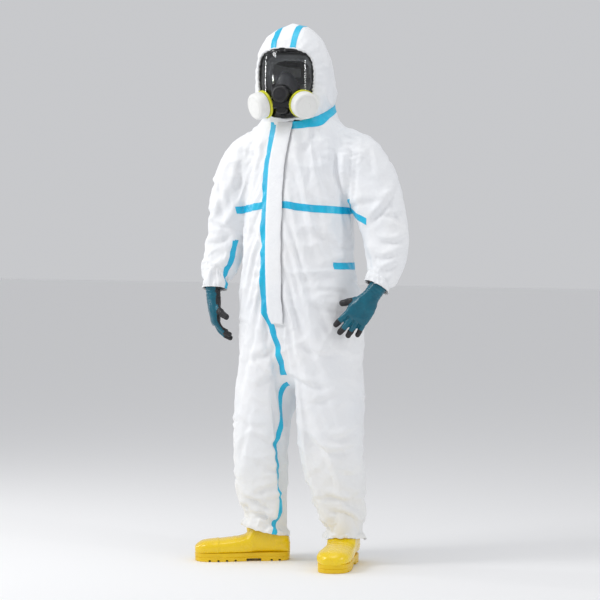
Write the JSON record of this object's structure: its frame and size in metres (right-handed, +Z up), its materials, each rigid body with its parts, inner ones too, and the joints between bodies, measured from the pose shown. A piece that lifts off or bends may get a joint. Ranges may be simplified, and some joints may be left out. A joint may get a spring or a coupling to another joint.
{
  "type": "chemical protective suit",
  "caption": "Hooded white coverall with cyan taped seams, worn with a full-face twin-filter respirator, teal gloves and yellow boots, standing.",
  "frame": {"origin": "centre of the bounding box's base, on the ground between the boots", "axes": "+Z up, -Y the way the wearer faces, +X to the wearer's left"},
  "size_m": [0.7848, 0.3782, 1.856],
  "materials": {
    "fabric": "white microporous film laminate, satin",
    "tape": "cyan heat-sealed seam tape, satin",
    "elastic": "white gathered elastic",
    "zip": "white moulded zip",
    "black_rubber": "black moulded rubber, matt",
    "black_plastic": "black moulded plastic, semi-gloss",
    "valve_silicone": "translucent silicone",
    "lens": "clear polycarbonate, glossy",
    "filter": "off-white moulded plastic",
    "filter_ring": "yellow moulded plastic",
    "glove": "teal nitrile with black palm and fingertips",
    "boot": "yellow moulded PVC, semi-gloss"
  },
  "bodies": {
    "suit": {"yoke_front_right": "fabric", "yoke_front_left": "fabric", "body_front_right": "fabric", "body_front_left": "fabric", "back_panel": "fabric", "trouser_top": "fabric", "armhole_right": "fabric", "armhole_left": "fabric", "hood_neck": "fabric", "trouser_knee_right": "fabric", "trouser_knee_left": "fabric", "waist_elastic": "elastic", "tape_flap_edge": "tape", "tape_chest_right": "tape", "tape_chest_left": "tape", "tape_collar": "tape", "tape_crotch": "tape", "tape_waist": "tape", "zip_tape_right": "zip", "zip_tape_left": "zip", "visor_frame": "black_plastic", "visor_lens": "lens", "face_seal": "black_rubber", "nose_cup": "black_rubber", "mask_housing": "black_plastic", "exhale_valve_cover": "black_plastic", "head_harness": "black_rubber", "hood_centre": "fabric", "hood_side_right": "fabric", "hood_side_left": "fabric", "hood_face_elastic": "elastic", "tape_hood_right": "tape", "tape_hood_left": "tape"},
    "flap": {"storm_flap": "fabric"},
    "slider": {"zip_slider": "zip", "zip_pull": "zip"},
    "valve": {"exhale_valve_disc": "valve_silicone"},
    "upper_sleeve_right": {"sleeve_upper_right": "fabric", "sleeve_elbow_right": "fabric"},
    "forearm_right": {"sleeve_forearm_right": "fabric", "cuff_elastic_right": "elastic", "tape_sleeve_right": "tape", "glove_right": "glove"},
    "shin_right": {"trouser_shin_right": "fabric", "tape_inseam_right": "tape", "boot_right": "boot"},
    "filter_right": {"filter_body_right": "filter", "filter_ring_right": "filter_ring"},
    "upper_sleeve_left": {"sleeve_upper_left": "fabric", "sleeve_elbow_left": "fabric"},
    "forearm_left": {"sleeve_forearm_left": "fabric", "cuff_elastic_left": "elastic", "tape_sleeve_left": "tape", "glove_left": "glove"},
    "shin_left": {"trouser_shin_left": "fabric", "tape_inseam_left": "tape", "boot_left": "boot"},
    "filter_left": {"filter_body_left": "filter", "filter_ring_left": "filter_ring"}
  },
  "joints": [
    {"name": "shoulder_right", "type": "hinge", "parent": "suit", "child": "upper_sleeve_right", "pos_m": [-0.2181, -0.0089, 1.4], "axis": [-1, 0, 0], "range_deg": [0, 35], "deforming": ["armhole_right"]},
    {"name": "elbow_right", "type": "hinge", "parent": "upper_sleeve_right", "child": "forearm_right", "pos_m": [-0.3181, -0.0249, 1.15], "axis": [-1, 0, 0], "range_deg": [0, 50], "deforming": ["sleeve_elbow_right"]},
    {"name": "shoulder_left", "type": "hinge", "parent": "suit", "child": "upper_sleeve_left", "pos_m": [0.1719, 0.0671, 1.4], "axis": [-1, 0, 0], "range_deg": [0, 35], "deforming": ["armhole_left"]},
    {"name": "elbow_left", "type": "hinge", "parent": "upper_sleeve_left", "child": "forearm_left", "pos_m": [0.3079, 0.0711, 1.15], "axis": [-1, 0, 0], "range_deg": [0, 50], "deforming": ["sleeve_elbow_left"]},
    {"name": "knee_right", "type": "hinge", "parent": "suit", "child": "shin_right", "pos_m": [-0.1691, -0.0049, 0.415], "axis": [1, 0, 0], "range_deg": [0, 40], "deforming": ["trouser_knee_right"]},
    {"name": "knee_left", "type": "hinge", "parent": "suit", "child": "shin_left", "pos_m": [0.1039, 0.0461, 0.415], "axis": [1, 0, 0], "range_deg": [0, 40], "deforming": ["trouser_knee_left"]},
    {"name": "flap_open", "type": "hinge", "parent": "suit", "child": "flap", "pos_m": [-0.0611, -0.1309, 1.17], "axis": [0, 0, -1], "range_deg": [0, 100]},
    {"name": "zip_slide", "type": "hinge", "parent": "suit", "child": "slider", "pos_m": [-0.0281, 2.0121, 1.075], "axis": [1, 0, 0], "range_deg": [0, 16.2]},
    {"name": "filter_twist_right", "type": "hinge", "parent": "suit", "child": "filter_right", "pos_m": [-0.07152, -0.15347, 1.5732], "axis": [-0.3774, -0.8891, -0.2588], "range_deg": [0, 60]},
    {"name": "filter_twist_left", "type": "hinge", "parent": "suit", "child": "filter_left", "pos_m": [0.08818, -0.10464, 1.5732], "axis": [0.8101, -0.5261, -0.2588], "range_deg": [0, 60]},
    {"name": "exhale_valve_lift", "type": "slide", "parent": "suit", "child": "valve", "axis": [0.2924, -0.9563, 0], "range_m": [0, 0.0025], "stiffness_N_per_m": 30}
  ]
}
